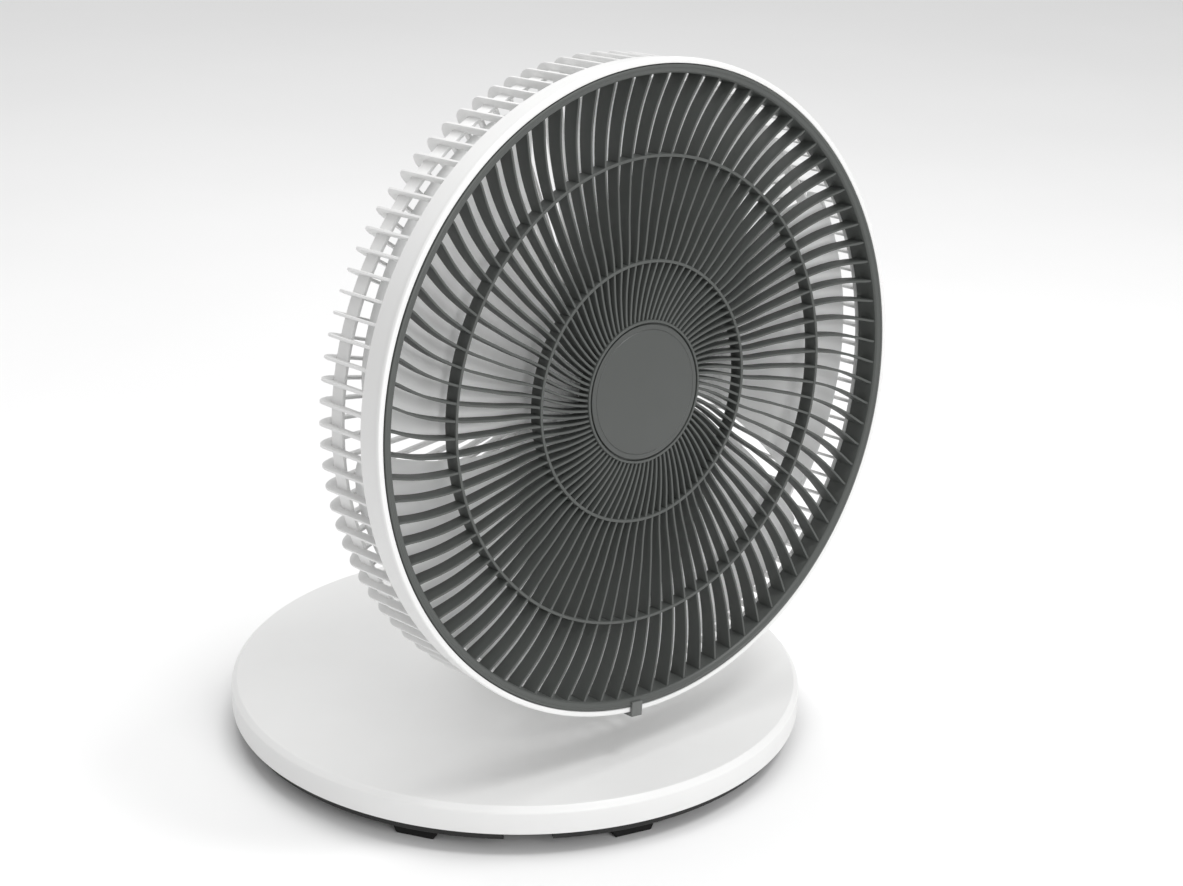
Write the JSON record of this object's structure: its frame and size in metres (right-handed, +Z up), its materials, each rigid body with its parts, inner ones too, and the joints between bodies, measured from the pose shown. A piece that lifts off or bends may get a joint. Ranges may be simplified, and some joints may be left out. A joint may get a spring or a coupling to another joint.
{
  "type": "table fan",
  "caption": "Round table fan on a flat disc base, with a guarded impeller head that tilts and swings on a short neck.",
  "frame": {"origin": "on the floor under the middle of the disc base, on the axis that the neck swings about", "axes": "+Z up, -Y the way the fan blows, +X to the right when looking along +Y"},
  "size_m": [0.3879, 0.364, 0.4502],
  "materials": {
    "white_plastic": "satin",
    "black_plastic": "fine texture",
    "grey_plastic": "satin",
    "grille_plastic": "fine texture",
    "badge_plastic": "satin",
    "latch_plastic": "satin",
    "blade_plastic": "semi-gloss",
    "rubber": "matte",
    "steel": "machined",
    "cast_aluminium": "as cast",
    "motor_can": "drawn sheet",
    "bronze": "sintered",
    "copper": "enamelled wire",
    "nylon": "natural nylon",
    "circuit_board": "solder mask",
    "capacitor_case": "satin"
  },
  "bodies": {
    "base": {"base_cover": "white_plastic", "base_plate": "black_plastic", "rubber_feet": "rubber", "base_weight": "steel", "base_screws": "steel", "base_lugs": "white_plastic", "cord_inlet": "rubber", "control_board": "circuit_board", "swing_bush": "bronze", "swing_motor": "motor_can"},
    "pinion": {"swing_pinion": "nylon", "pinion_shaft": "steel"},
    "neck": {"swing_gear": "nylon", "neck_front": "white_plastic", "neck_rear": "white_plastic", "neck_screws": "steel", "tilt_yoke": "grey_plastic", "tilt_pin": "steel", "tilt_nut": "grey_plastic", "speed_switch": "black_plastic", "swing_switch": "black_plastic"},
    "knob": {"speed_knob": "grey_plastic", "speed_spindle": "steel"},
    "button": {"swing_button": "grey_plastic"},
    "head": {"front_grille": "grille_plastic", "hub_badge": "badge_plastic", "rear_guard": "white_plastic", "grille_latch": "latch_plastic", "guard_nut": "grey_plastic", "motor_front": "cast_aluminium", "motor_bracket": "cast_aluminium", "motor_cover": "white_plastic", "stator_core": "steel", "windings": "copper", "front_bearing": "bronze", "rear_bearing": "bronze", "capacitor": "capacitor_case", "motor_bolts": "steel"},
    "rotor": {"impeller": "blade_plastic", "shaft": "steel", "rotor_core": "steel", "spinner_nut": "grey_plastic"}
  },
  "joints": [
    {"name": "swing", "type": "hinge", "parent": "base", "child": "neck", "pos_m": [0, 0, 0.0253], "axis": [0, 0, 1], "range_deg": [-45, 45]},
    {"name": "pinion_turn", "type": "hinge", "parent": "base", "child": "pinion", "pos_m": [0.02475, 0.04287, 0.0213], "axis": [0, 0, 1], "range_deg": [-121, 121]},
    {"name": "head_tilt", "type": "hinge", "parent": "neck", "child": "head", "pos_m": [0, 0, 0.184], "axis": [-1, 0, 0], "range_deg": [-8, 25]},
    {"name": "blade_spin", "type": "hinge", "parent": "head", "child": "rotor", "pos_m": [0, -0.124, 0.257], "axis": [0, -0.9962, 0.0872], "continuous": true},
    {"name": "speed_turn", "type": "hinge", "parent": "neck", "child": "knob", "pos_m": [0, 0.03, 0.112], "axis": [0, 1, 0], "range_deg": [0, 270]},
    {"name": "swing_push", "type": "slide", "parent": "neck", "child": "button", "axis": [0, -1, 0], "range_m": [0, 0.003], "stiffness_N_per_m": 400, "springref_m": -0.001}
  ],
  "couplings": [
    {"joint": "pinion_turn", "follows": "swing", "ratio": -2.6667}
  ]
}
